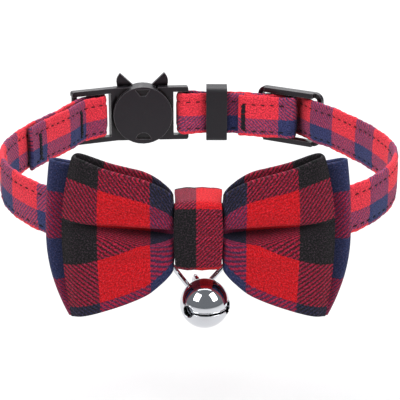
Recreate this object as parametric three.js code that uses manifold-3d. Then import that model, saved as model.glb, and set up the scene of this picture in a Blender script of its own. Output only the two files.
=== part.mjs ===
// Pet bow tie collar, held as it is worn: a level loop round the neck, bow in front, buckle at
// the back. Millimetres, +Z up, -Y to the front, origin in the middle of the neck opening.
import * as THREE from 'three';
import { mergeVertices } from 'three/addons/utils/BufferGeometryUtils.js';
import Module from 'manifold-3d';

const wasm = await Module();
wasm.setup();

const clearance = 0.3; // between pieces that touch on the real one

// Neck loop, to the middle of the strap's outer layer
const neckHalfWidth = 41.2;
const neckBack = 40.6;
const neckFront = 38;

// Strap
const strapWidth = 10;
const strapThickness = 1.2;
const sewnEndLength = 29; // folded-back layer at the buckle, from its bar to the raw end
const shortEndLength = 12.5; // folded-back layer at the slider, from its bar to the raw end
const sliderRun = 5; // past the slider, where the strap is back on the loop's line
const buckleRun = 9; // before the buckle's end bar, where the strap leaves the loop's line
const sewnRun = 6; // past the buckle's end bar, where the sewn layer is back on its line
const pathStep = 4.5; // between the strap's points along the loop

// Buckle
const drumRadius = 7.05;
const drumDepth = 4.6;
const buckleAt = 13.7; // from the back's middle to the drum's middle, along the loop
const buckleTurn = 4; // degrees
const ladderBend = 18; // degrees that the long frame leans towards the neck
const frameDepth = 1.8;
const frameBarRadius = 0.7;
const frameRail = 1.2;
const ladderHinge = 6.4; // from the drum's middle to where the long frame bends
const innerBarAt = 4.6; // from the bend to the bar that the strap is sewn round
const outerBarAt = 10.4; // from the bend to the end bar
const tongueBarAt = 10.3; // from the drum's middle to the other half's bar
const earHeight = 3.2; // ear tip over the drum's rim
const earSpread = 5.3; // ear tip from the drum's middle
const earDepth = 1.1;
const notchWidth = 3.7;
const notchHeight = 1.6;
const notchDepth = 0.6;
const tongueHalf = 2.7;

// Slider
const sliderAt = 22.4; // from the back's middle, along the loop
const sliderLength = 16.8;
const sliderRail = 1.2;
const sliderBar = 1.2;
const sliderCorner = 2;

// Keeper
const keeperAt = 4.3;
const keeperWidth = 5;
const keeperWall = 1.2;

// Bow
const clothThickness = 1.1;
const bowFrontWidth = 49.6;
const bowFrontHeight = 31.4;
const bowBackWidth = 56.4;
const bowBackHeight = 30.6;
const bowFrontBulge = 2.8; // face in front of the tips
const bowBackBulge = 1.6; // rear face behind the tips
const pleatDepth = 3.2;
const pleatWidth = 3;
const creaseKnot = 2.3; // height of the pleat's upper lip at the knot
const creaseTip = 4.4; // and at the tip
const partingStep = 1.8; // the surface between the bows stands this far back beside the knot
const partingRun = 5.5; // from the knot's edge to where it has stepped back
const frontTipOut = 3.05; // front bow's tips in front of that surface
const backTipIn = 1.55; // back bow's tips behind it
const tipRadius = 1.4; // of the fold at a wing's end

// Knot band
const knotWidth = 8.6;
const knotThickness = 1.2;
const knotTop = 8.8;
const knotBottom = -4.4;
const knotCrown = 0.35;
const knotForward = 10; // front of the knot in front of the strap's middle line
const knotRearRise = 1; // room over the strap's top edge
const strapBow = 0.9; // how far the strap curves away across the knot's width

// Ring and bell
const ringWire = 1;
const ringHalfWidth = 5.15;
const ringHeight = 7.45; // between the middles of the flat bar and the lowest wire
const ringCorner = 1.1;
const ringStraight = 2; // below the flat bar, where the sides start to lean in
const ringFoot = 2.4; // radius of the lowest bend
const ringTilt = -2; // degrees
const bellRadius = 4.6;
const bellWall = 0.5;
const bellSlit = 0.45;
const bellHoleRadius = 1.2;
const bellHoleAngle = 56; // degrees from the slit's middle
const bellLoopRadius = 1.95;
const bellLoopWire = 0.9;
const bellTurn = 14; // degrees to the side
const bellDip = 5; // degrees down
const pelletRadius = 1;

const strapStep = strapThickness + clearance;
const halfStrap = strapWidth / 2;
const slotHalf = halfStrap + clearance + 0.05;
const degrees = THREE.MathUtils.degToRad;

// Half of the loop in plan, from the back's middle to the front's middle.
// aside is a share of neckHalfWidth, along of neckBack or, below 0, of neckFront.
const neckShape = [
  { aside: 0, along: 1 },
  { aside: 0.194, along: 0.998 },
  { aside: 0.33, along: 0.98 },
  { aside: 0.5, along: 0.915 },
  { aside: 0.667, along: 0.796 },
  { aside: 0.75, along: 0.665 },
  { aside: 0.825, along: 0.517 },
  { aside: 0.893, along: 0.382 },
  { aside: 0.951, along: 0.222 },
  { aside: 0.993, along: 0.049 },
  { aside: 1, along: -0.105 },
  { aside: 0.976, along: -0.263 },
  { aside: 0.922, along: -0.421 },
  { aside: 0.85, along: -0.553 },
  { aside: 0.765, along: -0.674 },
  { aside: 0.631, along: -0.79 },
  { aside: 0.437, along: -0.9 },
  { aside: 0.218, along: -0.968 },
  { aside: 0, along: -1 },
];

// One wing of the front bow, from the middle to the tip. from is a share of the half width, height
// and lift (the middle's height) of the half height, face of bowFrontBulge, pleat of pleatDepth.
const frontWing = [
  { from: 0, height: 0.25, lift: 0.145, face: 0.54, pleat: 0 },
  { from: 0.175, height: 0.25, lift: 0.145, face: 0.54, pleat: 0 },
  { from: 0.205, height: 0.45, lift: 0.155, face: 0.7, pleat: 0.35 },
  { from: 0.26, height: 0.57, lift: 0.13, face: 0.84, pleat: 0.75 },
  { from: 0.39, height: 0.7, lift: 0.1, face: 1, pleat: 1 },
  { from: 0.7, height: 0.865, lift: 0.065, face: 0.95, pleat: 0.6 },
  { from: 0.9, height: 0.96, lift: 0.065, face: 0.62, pleat: 0.3 },
  { from: 1, height: 0.985, lift: 0.055, face: 0, pleat: 0.1 },
];

// One wing of the back bow, with the same columns; rear is a share of bowBackBulge.
const backWing = [
  { from: 0, height: 0.235, lift: 0.13, rear: -0.4 },
  { from: 0.155, height: 0.235, lift: 0.13, rear: -0.4 },
  { from: 0.19, height: 0.42, lift: 0.14, rear: -0.2 },
  { from: 0.25, height: 0.56, lift: 0.12, rear: 0.2 },
  { from: 0.4, height: 0.73, lift: 0.06, rear: 0.85 },
  { from: 0.7, height: 0.88, lift: -0.02, rear: 1 },
  { from: 0.9, height: 0.97, lift: -0.05, rear: 0.88 },
  { from: 1, height: 1, lift: -0.05, rear: 0.8 },
];

// Where the stations along a wing lie, as shares of its half width.
const wingStations = [0, 0.085, 0.17, 0.205, 0.26, 0.32, 0.39, 0.5, 0.6, 0.7, 0.8, 0.88, 0.94, 0.965, 0.985, 1];

// A material in one of the object's colours.
function finish(color, roughness, metalness = 0) {
  return new THREE.MeshStandardMaterial({ color, roughness, metalness });
}

const clothRed = finish(0xb01c22, 0.95);
const clothDark = finish(0x5a2430, 0.95);
const clothKnot = finish(0x94243a, 0.95);
const plastic = finish(0x322c33, 0.35);
const rubber = finish(0x2d2b31, 0.7);
const chrome = finish(0xd8dadd, 0.12, 1);

// A smooth value between the rows of a table, read by its first column.
function between(table, key, name, value) {
  const last = table.length - 1;
  let i = 0;
  while (i < last - 1 && value > table[i + 1][key]) i++;
  const slope = (a, b) => (table[b][name] - table[a][name]) / (table[b][key] - table[a][key]);
  const span = table[i + 1][key] - table[i][key];
  const here = slope(i, i + 1);
  const before = i > 0 ? slope(i - 1, i) : here;
  const after = i < last - 1 ? slope(i + 1, i + 2) : here;
  const gentle = (a, b) => (a * b <= 0 ? 0 : (2 * a * b) / (a + b));
  const startSlope = i > 0 ? gentle(before, here) : here;
  const endSlope = i < last - 1 ? gentle(here, after) : here;
  const t = THREE.MathUtils.clamp((value - table[i][key]) / span, 0, 1);
  const rise = table[i + 1][name] - table[i][name];
  const a = startSlope * span - rise;
  const b = rise - endSlope * span;
  return table[i][name] + t * rise + t * (1 - t) * ((1 - t) * a + t * b);
}

// A closed body through rings of points that have the same count.
function loft(rings, closed) {
  const count = rings[0].length;
  const positions = rings.flat().flatMap((p) => [p.x, p.y, p.z]);
  const faces = [];
  const last = closed ? rings.length : rings.length - 1;
  for (let i = 0; i < last; i++) {
    const a = i * count;
    const b = ((i + 1) % rings.length) * count;
    for (let k = 0; k < count; k++) {
      const next = (k + 1) % count;
      faces.push(a + k, b + k, b + next, a + k, b + next, a + next);
    }
  }
  if (!closed) {
    const end = (rings.length - 1) * count;
    for (let k = 1; k < count - 1; k++) {
      faces.push(0, k, k + 1);
      faces.push(end, end + k + 1, end + k);
    }
  }
  const geometry = new THREE.BufferGeometry();
  geometry.setAttribute('position', new THREE.Float32BufferAttribute(positions, 3));
  geometry.setIndex(faces);
  return facingOut(geometry);
}

// The same body with its faces turned outwards.
function facingOut(geometry) {
  const p = geometry.getAttribute('position');
  const index = geometry.getIndex();
  const [a, b, c] = [new THREE.Vector3(), new THREE.Vector3(), new THREE.Vector3()];
  let volume = 0;
  for (let i = 0; i < index.count; i += 3) {
    a.fromBufferAttribute(p, index.getX(i));
    b.fromBufferAttribute(p, index.getX(i + 1));
    c.fromBufferAttribute(p, index.getX(i + 2));
    volume += a.dot(b.cross(c));
  }
  if (volume < 0) geometry.setIndex(Array.from(index.array).reverse());
  return geometry;
}

// A geometry as a solid that can be cut and joined, and back again.
function solid(geometry) {
  const bare = geometry.clone();
  bare.deleteAttribute('normal');
  bare.deleteAttribute('uv');
  const merged = mergeVertices(bare, 1e-4);
  const vertProperties = new Float32Array(merged.getAttribute('position').array);
  const triVerts = new Uint32Array(merged.getIndex().array);
  return new wasm.Manifold(new wasm.Mesh({ numProp: 3, vertProperties, triVerts }));
}

function geometryOf(body) {
  const mesh = body.getMesh();
  const points = [];
  for (let i = 0; i < mesh.numVert; i++) {
    points.push(...mesh.vertProperties.subarray(i * mesh.numProp, i * mesh.numProp + 3));
  }
  const geometry = new THREE.BufferGeometry();
  geometry.setAttribute('position', new THREE.Float32BufferAttribute(points, 3));
  geometry.setIndex(Array.from(mesh.triVerts));
  return geometry;
}

// A block between two corners.
function block(x0, x1, y0, y1, z0, z1) {
  const geometry = new THREE.BoxGeometry(x1 - x0, y1 - y0, z1 - z0);
  geometry.translate((x0 + x1) / 2, (y0 + y1) / 2, (z0 + z1) / 2);
  return solid(geometry);
}

// An upright round bar through x, y from z0 to z1.
function post(x, y, radius, z0, z1) {
  const geometry = new THREE.CylinderGeometry(radius, radius, z1 - z0, 10);
  geometry.rotateX(Math.PI / 2);
  geometry.translate(x, y, (z0 + z1) / 2);
  return solid(geometry);
}

// A flat outline in x and z, given its depth along y from y0 to y1.
function plate(shape, y0, y1, curveSegments = 6) {
  const geometry = new THREE.ExtrudeGeometry(shape, { depth: y1 - y0, bevelEnabled: false, curveSegments });
  geometry.rotateX(Math.PI / 2);
  geometry.translate(0, y1, 0);
  return solid(geometry);
}

// A rectangle with rounded corners, as an outline in x and z.
function roundedBox(x0, x1, z0, z1, radius) {
  const shape = new THREE.Shape();
  shape.moveTo(x0 + radius, z0);
  shape.lineTo(x1 - radius, z0);
  shape.absarc(x1 - radius, z0 + radius, radius, -Math.PI / 2, 0);
  shape.lineTo(x1, z1 - radius);
  shape.absarc(x1 - radius, z1 - radius, radius, 0, Math.PI / 2);
  shape.lineTo(x0 + radius, z1);
  shape.absarc(x0 + radius, z1 - radius, radius, Math.PI / 2, Math.PI);
  shape.lineTo(x0, z0 + radius);
  shape.absarc(x0 + radius, z0 + radius, radius, Math.PI, 1.5 * Math.PI);
  return shape;
}

// The neck loop in plan, as a closed curve that starts at the back's middle and goes by +X.
const neckCurve = (() => {
  const place = (row, side) =>
    new THREE.Vector3(
      side * row.aside * neckHalfWidth,
      row.along * (row.along > 0 ? neckBack : neckFront),
      0,
    );
  const right = neckShape.map((row) => place(row, 1));
  const left = neckShape.slice(1, -1).reverse().map((row) => place(row, -1));
  const curve = new THREE.CatmullRomCurve3([...right, ...left], true, 'centripetal');
  curve.arcLengthDivisions = 2000;
  return curve;
})();
const neckLength = neckCurve.getLength();

// The place a distance along the loop from the back's middle, and its directions in plan.
function neckPlace(distance, out = 0) {
  const share = (((distance / neckLength) % 1) + 1) % 1;
  const point = neckCurve.getPointAt(share);
  const along = neckCurve.getTangentAt(share);
  const outward = new THREE.Vector3(-along.y, along.x, 0);
  return { point: point.addScaledVector(outward, out), along, outward };
}

// A frame in plan: at(x, y) gives the place x along it and y outwards from it.
function planFrame(origin, angle) {
  const along = new THREE.Vector3(Math.cos(angle), Math.sin(angle), 0);
  const outward = new THREE.Vector3(-Math.sin(angle), Math.cos(angle), 0);
  const at = (x, y) => origin.clone().addScaledVector(along, x).addScaledVector(outward, y);
  return { origin, angle, at };
}

// Points round a bar, from one angle to another, in a plan frame.
function roundBar(frame, x, y, radius, from, to, steps = 7) {
  return Array.from({ length: steps }, (_, i) => {
    const angle = degrees(from + ((to - from) * i) / (steps - 1));
    return frame.at(x + radius * Math.cos(angle), y + radius * Math.sin(angle));
  });
}

// Frames of the buckle, its bent long frame and the slider
const buckleMiddle = neckPlace(-buckleAt, -strapThickness / 2).point;
const buckleFrame = planFrame(buckleMiddle, degrees(buckleTurn));
const ladderFrame = planFrame(buckleFrame.at(-ladderHinge, 0), degrees(buckleTurn + ladderBend));
const sliderPlace = neckPlace(sliderAt);
const sliderFrame = planFrame(sliderPlace.point, Math.atan2(sliderPlace.along.y, sliderPlace.along.x));
const keeperPlace = neckPlace(keeperAt);
const keeperFrame = planFrame(keeperPlace.point, Math.atan2(keeperPlace.along.y, keeperPlace.along.x));

// Where the tongue's frame and the tongue itself start, from the drum's middle
const webFrom = drumRadius / 2;
const tongueFrom = drumRadius / 6;

// Heights of the layers over the bars
const frameLift = frameBarRadius + clearance + strapThickness / 2;
const sliderLift = sliderBar / 2 + clearance + strapThickness / 2;
const sliderOffset = 0.5; // the slider's end bars stand this far out, its middle bar this far in
const sliderEnd = sliderLength / 2 - sliderBar / 2;

// The strap's middle line, from the raw end at the slider to the raw end at the buckle.
function strapPath() {
  const points = [];
  const add = (...places) => points.push(...places);
  const shortEnd = sliderAt - shortEndLength;
  const endsDown = sliderOffset - sliderLift - 2 * clearance; // outer layer at the slider's end bars
  add(neckPlace(shortEnd, -2 * strapStep).point);
  add(sliderFrame.at(-sliderEnd, endsDown - 2 * strapStep));
  add(...roundBar(sliderFrame, 0, -sliderOffset, sliderLift, -100, 100));
  add(sliderFrame.at(-sliderEnd, endsDown - strapStep));
  add(neckPlace(shortEnd, -strapStep).point);
  add(neckPlace(keeperAt + keeperWidth / 2, -strapStep).point);
  add(neckPlace(keeperAt - keeperWidth / 2, -strapStep).point);
  add(...roundBar(buckleFrame, tongueBarAt, 0, frameLift, -80, -280));
  add(neckPlace(keeperAt - keeperWidth / 2).point);
  add(neckPlace(keeperAt + keeperWidth / 2).point);
  add(neckPlace(shortEnd).point);
  add(sliderFrame.at(-sliderEnd, endsDown));
  add(sliderFrame.at(-strapThickness, -sliderOffset + sliderLift + strapStep));
  add(sliderFrame.at(strapThickness, -sliderOffset + sliderLift + strapStep));
  add(sliderFrame.at(sliderEnd, endsDown));
  const from = sliderAt + sliderLength / 2 + sliderRun;
  const to = neckLength - buckleAt - ladderHinge - outerBarAt - buckleRun;
  const steps = Math.round((to - from) / pathStep);
  for (let i = 0; i <= steps; i++) add(neckPlace(from + ((to - from) * i) / steps).point);
  const bend = ladderFrame.at(-outerBarAt, -frameLift - clearance);
  add(bend);
  add(...roundBar(ladderFrame, -innerBarAt, 0, frameLift, 118, -62));
  const inner = ladderFrame.at(-outerBarAt + strapStep * 0.95, -frameLift - clearance - strapStep * 0.75);
  add(inner);
  const sewnEnd = -(buckleAt + ladderHinge + innerBarAt + sewnEndLength);
  const sewnFrom = -(buckleAt + ladderHinge + outerBarAt + sewnRun);
  for (let i = 0; i <= 4; i++) {
    add(neckPlace(sewnFrom + ((sewnEnd - sewnFrom) * i) / 4, -strapStep).point);
  }
  return new THREE.CatmullRomCurve3(points, false, 'centripetal');
}

// The strap: its cross section carried along its middle line, level all the way.
function strap() {
  const curve = strapPath();
  curve.arcLengthDivisions = 3000;
  const length = curve.getLength();
  const rings = [];
  const half = strapThickness / 2;
  const upright = (p, side, out, z) => new THREE.Vector3(p.x + side.x * out, p.y + side.y * out, z);
  let at = 0;
  while (at <= length) {
    const p = curve.getPointAt(at / length);
    const t = curve.getTangentAt(at / length);
    const ahead = curve.getTangentAt(Math.min(1, (at + 1) / length));
    const side = new THREE.Vector3(-t.y, t.x, 0);
    rings.push([
      upright(p, side, -half, -halfStrap),
      upright(p, side, half, -halfStrap),
      upright(p, side, half, halfStrap),
      upright(p, side, -half, halfStrap),
    ]);
    if (at === length) break;
    const bend = t.angleTo(ahead);
    at = Math.min(length, at + THREE.MathUtils.clamp(0.2 / (bend + 0.02), 0.6, 3.5));
  }
  return loft(rings, false);
}

// A frame of two rails between upright bars, with its slot cut out.
function slotted(x0, x1, slotFrom, slotTo, corner) {
  const top = slotHalf + frameRail;
  const body = plate(roundedBox(x0, x1, -top, top, corner), -frameDepth / 2, frameDepth / 2, 3);
  return body.subtract(block(slotFrom, slotTo, -frameDepth, frameDepth, -slotHalf, slotHalf));
}

// Buckle, left half: drum with ears and pocket, and the long frame with its two bars.
function buckleHousing() {
  const half = drumDepth / 2;
  const disc = new THREE.CylinderGeometry(drumRadius, drumRadius, drumDepth, 36);
  let body = solid(disc);
  for (const side of [-1, 1]) body = body.add(ear(side, half));
  const pocket = frameDepth / 2 + clearance;
  const far = drumRadius + 2;
  body = body.subtract(block(webFrom - clearance, far, -pocket, pocket, -far, far));
  body = body.subtract(
    block(tongueFrom - clearance, far, -pocket, pocket, -tongueHalf - clearance, tongueHalf + clearance),
  );
  body = body.subtract(plate(topNotch(), -half - 1, -half + notchDepth));
  body = body.subtract(plate(bottomNotch(), -half - 1, -half + notchDepth));
  body = body.add(longFrame());
  return geometryOf(body);
}

// The bent frame, made in the drum's own directions.
function longFrame() {
  const foldEdge = frameLift + strapThickness / 2 + clearance;
  const slotEnd = -innerBarAt + foldEdge + 0.5;
  const top = slotHalf + frameRail;
  let frame = slotted(-outerBarAt - frameBarRadius, 1, -outerBarAt - 2, slotEnd, 0.6);
  const turned = (piece) => {
    const turn = piece.rotate([0, 0, ladderBend]);
    return turn.translate([-ladderHinge, 0, 0]);
  };
  for (const at of [innerBarAt, outerBarAt]) frame = frame.add(post(-at, 0, frameBarRadius, -top + 0.4, top - 0.4));
  const web = plate(roundedBox(-ladderHinge - 0.8, 0, -top, top, 0.3), -frameDepth / 2, frameDepth / 2, 2);
  return turned(frame).add(web);
}

// One ear, a curved point that stands behind the drum's rim.
function ear(side, half) {
  const tip = drumRadius + earHeight * 0.78;
  const shape = new THREE.Shape();
  shape.moveTo(side * earSpread * 0.4, drumRadius * 0.55);
  shape.lineTo(side * earSpread * 0.42, drumRadius * 0.94);
  shape.quadraticCurveTo(side * earSpread * 0.72, drumRadius * 1.15, side * earSpread, tip);
  shape.quadraticCurveTo(side * earSpread * 1.2, tip - 1.2, side * earSpread * 1.17, drumRadius * 1.05);
  shape.quadraticCurveTo(side * earSpread * 1.15, drumRadius * 0.8, side * earSpread * 0.98, drumRadius * 0.5);
  shape.closePath();
  return plate(shape, half - earDepth, half, 5);
}

// The two shallow marks on the drum's inner face.
function topNotch() {
  const z = drumRadius * 0.9;
  const shape = new THREE.Shape();
  shape.moveTo(-notchWidth / 2, z);
  shape.lineTo(notchWidth / 2, z);
  shape.lineTo(notchWidth * 0.16, z - notchHeight);
  shape.lineTo(-notchWidth * 0.16, z - notchHeight);
  shape.closePath();
  return shape;
}

function bottomNotch() {
  const z = -drumRadius * 0.84;
  const shape = new THREE.Shape();
  shape.moveTo(-notchWidth / 2, z);
  shape.lineTo(notchWidth / 2, z);
  shape.quadraticCurveTo(notchWidth * 0.4, z + notchHeight, 0, z + notchHeight);
  shape.quadraticCurveTo(-notchWidth * 0.4, z + notchHeight, -notchWidth / 2, z);
  return shape;
}

// Buckle, right half: short frame with the tongue that lies in the drum's pocket.
function buckleTongue() {
  const foldEdge = frameLift + strapThickness / 2 + clearance;
  const top = slotHalf + frameRail;
  let body = slotted(webFrom, tongueBarAt + frameBarRadius, tongueBarAt - foldEdge - 0.4, tongueBarAt + 2, 0.6);
  body = body.add(post(tongueBarAt, 0, frameBarRadius, -top + 0.4, top - 0.4));
  const tongue = roundedBox(tongueFrom, webFrom + 1, -tongueHalf, tongueHalf, 0.4);
  body = body.add(plate(tongue, -frameDepth / 2, frameDepth / 2, 2));
  return geometryOf(body);
}

// Slider: a rounded frame whose end bars stand out and whose middle bar stands in.
function slider() {
  const top = slotHalf + sliderRail;
  const end = sliderLength / 2;
  const outFrom = sliderOffset - sliderBar / 2;
  const outTo = sliderOffset + sliderBar / 2;
  let body = plate(roundedBox(-end, end, -top, top, sliderCorner), outFrom, outTo, 5);
  const window = roundedBox(-end + sliderBar, end - sliderBar, -slotHalf, slotHalf, sliderCorner / 3);
  body = body.subtract(plate(window, outFrom - 1, outTo + 1, 2));
  for (const side of [-1, 1]) {
    const edge = side * slotHalf;
    const rim = side * top;
    const reach = end - sliderCorner;
    body = body.add(block(-reach, reach, -outTo, outFrom + 0.2, Math.min(edge, rim), Math.max(edge, rim)));
  }
  body = body.add(post(0, -sliderOffset, sliderBar / 2, -top + 0.3, top - 0.3));
  return geometryOf(body);
}

// Keeper: a flat loop round two layers of the strap.
function keeper() {
  const inTo = strapThickness / 2 + clearance;
  const inFrom = -strapStep - strapThickness / 2 - clearance;
  const inner = roundedBox(inFrom, inTo, -slotHalf, slotHalf, 0.5);
  const outer = roundedBox(inFrom - keeperWall, inTo + keeperWall, -slotHalf - keeperWall, slotHalf + keeperWall, 1.2);
  outer.holes.push(inner);
  const geometry = new THREE.ExtrudeGeometry(outer, { depth: keeperWidth, bevelEnabled: false, curveSegments: 3 });
  geometry.translate(0, 0, -keeperWidth / 2);
  geometry.rotateX(Math.PI / 2);
  geometry.rotateZ(Math.PI / 2);
  geometry.scale(-1, 1, 1);
  return geometryOf(solid(facingOut(mergeVertices(stripped(geometry), 1e-4))));
}

function stripped(geometry) {
  geometry.deleteAttribute('normal');
  geometry.deleteAttribute('uv');
  return geometry;
}

// Depths of the stack behind the knot's front wall, at its middle
const knotFrontY = -neckFront - knotForward;
const knotRearY = -neckFront + strapBow + strapThickness / 2 + clearance + knotThickness;
const pinch = 2 * clothThickness + clearance; // a bow's thickness in the knot
const frontFaceMiddle = knotFrontY + knotThickness + clearance;
const partMiddle = frontFaceMiddle + pinch + clearance / 2; // between the two bows
const partWing = partMiddle + partingStep;
const frontTipY = partWing - frontTipOut;
const backTipY = partWing + backTipIn;

// Y of the surface that parts the two bows, level with the knot and in the wings.
function parting(x) {
  const t = THREE.MathUtils.smoothstep(Math.abs(x), knotWidth / 2 - 0.3, knotWidth / 2 + partingRun);
  return partMiddle + partingStep * t;
}

// 1 along a wing, and down to 0 round the fold at its end.
function endRound(share, half) {
  const from = 1 - tipRadius / half;
  const t = Math.max(0, (share - from) / (1 - from));
  return Math.sqrt(Math.max(0, 1 - t * t));
}

// A cloth loop, open above and below. column(share, face) gives its outer points from the bottom
// up; the inner surface is a cloth's thickness inside them, and its ends stand in by as much.
function clothLoop(column, half) {
  const inset = 1 - clothThickness / half;
  const inside = (share, face) =>
    column(share * inset, face).map((p) => p.setY(p.y - face * clothThickness));
  const rings = [];
  const ring = (share, face) => {
    let inner = inside(share, face);
    if (Math.abs(share) === 1) {
      const other = inside(share, -face);
      inner = inner.map((p, k) => p.setY((p.y + other[k].y) / 2));
    }
    rings.push([...column(share, face), ...inner.reverse()]);
  };
  const count = wingStations.length;
  for (let j = 1 - count; j < count; j++) ring(Math.sign(j) * wingStations[Math.abs(j)], -1);
  for (let j = count - 2; j > 1 - count; j--) ring(Math.sign(j) * wingStations[Math.abs(j)], 1);
  return loft(rings, true);
}

// Rows of the front bow's face, from the bottom up. part says which stretch a row lies in and
// share how far through it; groove is a share of the pleat's depth.
const faceRows = [
  { part: 'lower', share: 0, groove: 0 },
  { part: 'lower', share: 0.25, groove: 0 },
  { part: 'lower', share: 0.55, groove: 0 },
  { part: 'lower', share: 0.82, groove: 0 },
  { part: 'lower', share: 1, groove: 0.12 },
  { part: 'pleat', share: 0.55, groove: 1 },
  { part: 'upper', share: 0, groove: 0.08 },
  { part: 'upper', share: 0.16, groove: -0.05 },
  { part: 'upper', share: 0.45, groove: 0 },
  { part: 'upper', share: 0.75, groove: 0 },
  { part: 'upper', share: 1, groove: 0 },
];

function frontColumn(share, face) {
  const s = Math.abs(share);
  const side = Math.sign(share);
  const read = (name) => between(frontWing, 'from', name, s);
  const halfHeight = (bowFrontHeight / 2) * read('height');
  const middle = (bowFrontHeight / 2) * read('lift');
  const bulge = bowFrontBulge * read('face');
  const groove = pleatDepth * read('pleat');
  const width = Math.min(pleatWidth, halfHeight * 0.4) * (0.35 + 0.65 * read('pleat'));
  const lip = creaseKnot + (creaseTip - creaseKnot) * s;
  const round = endRound(s, bowFrontWidth / 2);
  return faceRows.map((row) => {
    const bottom = middle - halfHeight;
    const top = middle + halfHeight;
    const start = { lower: bottom, pleat: lip - width, upper: lip }[row.part];
    const end = { lower: lip - width, pleat: lip, upper: top }[row.part];
    const z = start + (end - start) * row.share;
    const k = (z - middle) / halfHeight;
    const corner = k > 0 ? 0.09 : 0.05;
    const x = side * (bowFrontWidth / 2) * s * (1 - corner * k * k * s ** 3);
    const edge = 1 - 0.2 * k * k * s;
    const bare = frontTipY - bulge * edge;
    const rear = frontTipY + (parting(x) - clearance / 2 - frontTipY) * round;
    const room = Math.max(0, rear - bare - 2 * clothThickness - clearance);
    const front = bare + Math.min(room, groove * row.groove);
    return new THREE.Vector3(x, face < 0 ? front : rear, z);
  });
}

function backColumn(share, face) {
  const s = Math.abs(share);
  const side = Math.sign(share);
  const read = (name) => between(backWing, 'from', name, s);
  const halfHeight = (bowBackHeight / 2) * read('height');
  const middle = (bowBackHeight / 2) * read('lift');
  const round = endRound(s, bowBackWidth / 2);
  return [-1, -0.66, -0.33, 0, 0.33, 0.66, 1].map((k) => {
    const corner = k > 0 ? 0.04 : 0.13;
    const x = side * (bowBackWidth / 2) * s * (1 - corner * k * k * s ** 3);
    const front = backTipY + (parting(x) + clearance / 2 - backTipY) * round;
    const rear = backTipY + bowBackBulge * read('rear') * round;
    return new THREE.Vector3(x, face < 0 ? front : rear, middle + halfHeight * k);
  });
}

// Knot: a band round both bows and the strap.
function knotBand() {
  const rearTop = halfStrap + clearance + knotThickness + knotRearRise;
  const rearBottom = -halfStrap - 3 * clearance - knotThickness;
  const corners = [
    { y: knotFrontY, z: knotBottom, round: 1.8 },
    { y: knotFrontY, z: knotTop, round: 2.2 },
    { y: knotRearY, z: rearTop, round: 1.4 },
    { y: knotRearY, z: rearBottom, round: 1.4 },
  ];
  const path = roundedLoop(corners, 4);
  const half = knotWidth / 2;
  const across = [
    { x: -half, out: -knotCrown },
    { x: -half * 0.5, out: 0 },
    { x: half * 0.5, out: 0 },
    { x: half, out: -knotCrown },
  ];
  const rings = path.map(({ y, z, outY, outZ }) => {
    const place = (x, out) => new THREE.Vector3(x, y + outY * out, z + outZ * out);
    const outside = across.map((row) => place(row.x, row.out));
    const inside = across.map((row) => place(row.x, -knotThickness));
    return [...outside, ...inside.reverse()];
  });
  return loft(rings, true);
}

// A loop with rounded corners in y and z, with the outward direction at each point.
function roundedLoop(corners, steps) {
  const path = [];
  corners.forEach((corner, i) => {
    const before = corners[(i + corners.length - 1) % corners.length];
    const after = corners[(i + 1) % corners.length];
    const towards = (a, b) => new THREE.Vector2(b.y - a.y, b.z - a.z).normalize();
    const inDirection = towards(before, corner);
    const outDirection = towards(corner, after);
    const turn = Math.acos(inDirection.dot(outDirection));
    const back = corner.round * Math.tan(turn / 2);
    const start = new THREE.Vector2(corner.y, corner.z).addScaledVector(inDirection, -back);
    const normal = new THREE.Vector2(-inDirection.y, inDirection.x);
    const centre = start.clone().addScaledVector(normal, -corner.round);
    for (let k = 0; k <= steps; k++) {
      const out = normal.clone().rotateAround(new THREE.Vector2(), (-turn * k) / steps);
      path.push({
        y: centre.x + out.x * corner.round,
        z: centre.y + out.y * corner.round,
        outY: out.x,
        outZ: out.y,
      });
    }
  });
  return path;
}

// D ring: a flat bar inside the knot's lower wall, and sides that lean in to a round foot.
const ringY = -neckFront - strapThickness / 2 - clearance - ringWire / 2 - 0.1;
const knotFloor = (y) => {
  const share = (y - knotFrontY) / (knotRearY - knotFrontY);
  return knotBottom + (-halfStrap - 3 * clearance - knotThickness - knotBottom) * share;
};
const ringLean = ringHalfWidth * Math.sin(degrees(Math.abs(ringTilt)));
const ringBarZ = knotFloor(ringY) + knotThickness + clearance + ringWire / 2 + ringLean;
const ringX = -0.1;

function ringOutline() {
  const bend = new THREE.Vector2(ringHalfWidth - ringCorner, -ringStraight);
  const foot = new THREE.Vector2(0, ringFoot - ringHeight);
  const side = foot.clone().sub(bend);
  const start = Math.atan2(side.x, -side.y) + Math.asin((ringFoot - ringCorner) / side.length());
  const points = [];
  const arc = (x, z, radius, from, to, steps) => {
    for (let i = 0; i <= steps; i++) {
      const angle = from + ((to - from) * i) / steps;
      points.push(new THREE.Vector2(x + radius * Math.cos(angle), z + radius * Math.sin(angle)));
    }
  };
  arc(bend.x, -ringCorner, ringCorner, Math.PI / 2, 0, 4);
  arc(bend.x, bend.y, ringCorner, 0, start, 3);
  arc(foot.x, foot.y, ringFoot, start, -Math.PI - start, 12);
  arc(-bend.x, bend.y, ringCorner, Math.PI - start, Math.PI, 3);
  arc(-bend.x, -ringCorner, ringCorner, Math.PI, Math.PI / 2, 4);
  return points;
}

function dRing() {
  const outline = ringOutline();
  const count = outline.length;
  const sides = 8;
  const tilt = degrees(ringTilt);
  const rings = outline.map((p, i) => {
    const t = outline[(i + 1) % count].clone().sub(outline[(i + count - 1) % count]).normalize();
    return Array.from({ length: sides }, (_, k) => {
      const angle = (2 * Math.PI * (k + 0.5)) / sides;
      const out = (ringWire / 2) * Math.cos(angle);
      const v = new THREE.Vector3(p.x - t.y * out, (ringWire / 2) * Math.sin(angle), p.y + t.x * out);
      v.applyAxisAngle(new THREE.Vector3(0, 1, 0), -tilt);
      return v;
    });
  });
  return loft(rings, true);
}

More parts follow.
